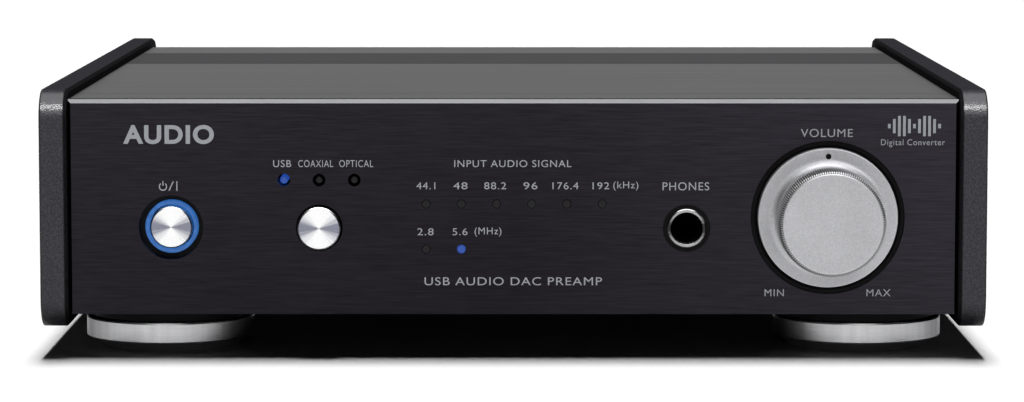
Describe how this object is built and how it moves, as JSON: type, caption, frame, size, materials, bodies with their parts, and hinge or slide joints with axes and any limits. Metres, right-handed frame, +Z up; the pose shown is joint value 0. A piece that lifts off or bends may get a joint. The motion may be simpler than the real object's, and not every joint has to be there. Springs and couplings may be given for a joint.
{
  "type": "desktop dac",
  "caption": "Half-width desktop audio converter: hairline front with volume knob, push buttons, indicator lamps and headphone socket; line and digital sockets at the rear.",
  "frame": {"origin": "on the resting surface under the feet, under the middle of the whole object's box", "axes": "+X to the right seen from the front, +Y from the front panel to the rear, +Z up"},
  "size_m": [0.215, 0.238, 0.0611],
  "materials": {
    "front_black": "black hairline anodised",
    "cover_black": "dark hairline, semi-gloss",
    "side_black": "fine textured black coat",
    "rear_black": "matt black paint",
    "knob_silver": "satin turned",
    "button_silver": "spun, radial",
    "foot_silver": "satin turned",
    "black_plastic": "moulded, satin",
    "rubber_black": "matt",
    "light_blue": "translucent, lit",
    "lamp_blue": "translucent, lit",
    "lamp_dark": "smoked, unlit",
    "chrome": "polished",
    "gold": "gold plated",
    "nickel": "nickel plated",
    "screw_black": "black zinc",
    "screw_steel": "bright zinc",
    "board_green": "solder mask",
    "chip_black": "moulded epoxy",
    "capacitor_sleeve": "printed sleeve",
    "winding_wrap": "clear film over copper wire",
    "core_steel": "wound strip",
    "sink_black": "black anodised",
    "fuse_glass": "clear",
    "lead_sleeve": "sleeved wire",
    "cable_grey": "flat cable",
    "white_plastic": "moulded"
  },
  "bodies": {
    "case": {"front_panel": "front_black", "front_bracket": "rear_black", "top_cover": "cover_black", "chassis_tray": "rear_black", "rear_panel": "rear_black", "side_panel_left": "side_black", "side_panel_right": "side_black", "foot_bodies": "black_plastic", "foot_rings": "foot_silver", "foot_pads": "rubber_black", "foot_screws": "screw_steel", "case_screws": "screw_black", "knob_ring": "black_plastic", "volume_pot_body": "chip_black", "volume_pot_nut": "nickel", "power_light_ring": "light_blue", "button_guide": "black_plastic", "button_switches": "chip_black", "lamp_lenses_lit": "lamp_blue", "lamp_lenses_off": "lamp_dark", "front_board": "board_green", "phones_jack_body": "black_plastic", "phones_jack_ring": "chrome", "headphone_board": "board_green", "main_board": "board_green", "power_board": "board_green", "board_standoffs": "nickel", "board_screws": "screw_steel", "chip_packages": "chip_black", "small_capacitors": "capacitor_sleeve", "reservoir_capacitors": "capacitor_sleeve", "heat_sink": "sink_black", "fuse": "fuse_glass", "transformer_windings": "winding_wrap", "transformer_cores": "core_steel", "transformer_clamps": "screw_steel", "transformer_leads": "lead_sleeve", "ribbon_cable": "cable_grey", "mains_inlet_body": "black_plastic", "mains_inlet_blades": "nickel", "rca_barrels": "gold", "rca_cores": "white_plastic", "rca_washers": "white_plastic", "xlr_shells": "nickel", "xlr_inserts": "black_plastic", "xlr_pins": "gold", "usb_shell": "nickel", "usb_insulator": "white_plastic", "optical_housing": "black_plastic", "slide_switch_bodies": "nickel"},
    "volume_control": {"volume_knob": "knob_silver", "knob_pointer": "black_plastic", "volume_shaft": "nickel"},
    "power_button": {"power_button_cap": "button_silver", "power_button_stem": "black_plastic"},
    "selector_button": {"selector_button_cap": "button_silver", "selector_button_stem": "black_plastic"},
    "optical_door": {"optical_shutter": "black_plastic"},
    "mode_switch": {"mode_switch_knob": "black_plastic"},
    "filter_switch": {"filter_switch_knob": "black_plastic"}
  },
  "joints": [
    {"name": "volume_turn", "type": "hinge", "parent": "case", "child": "volume_control", "pos_m": [0.07145, -0.104, 0.03215], "axis": [0, 1, 0], "range_deg": [-150, 150]},
    {"name": "power_press", "type": "slide", "parent": "case", "child": "power_button", "axis": [0, 1, 0], "range_m": [0, 0.0008], "stiffness_N_per_m": 600},
    {"name": "selector_press", "type": "slide", "parent": "case", "child": "selector_button", "axis": [0, 1, 0], "range_m": [0, 0.0008], "stiffness_N_per_m": 600},
    {"name": "optical_door_swing", "type": "hinge", "parent": "case", "child": "optical_door", "pos_m": [0.05, 0.1046, 0.0282], "axis": [-1, 0, 0], "range_deg": [0, 84], "stiffness_Nm_per_rad": 0.0002},
    {"name": "mode_select", "type": "slide", "parent": "case", "child": "mode_switch", "axis": [1, 0, 0], "range_m": [0, 0.004]},
    {"name": "filter_select", "type": "slide", "parent": "case", "child": "filter_switch", "axis": [1, 0, 0], "range_m": [0, 0.004]}
  ]
}
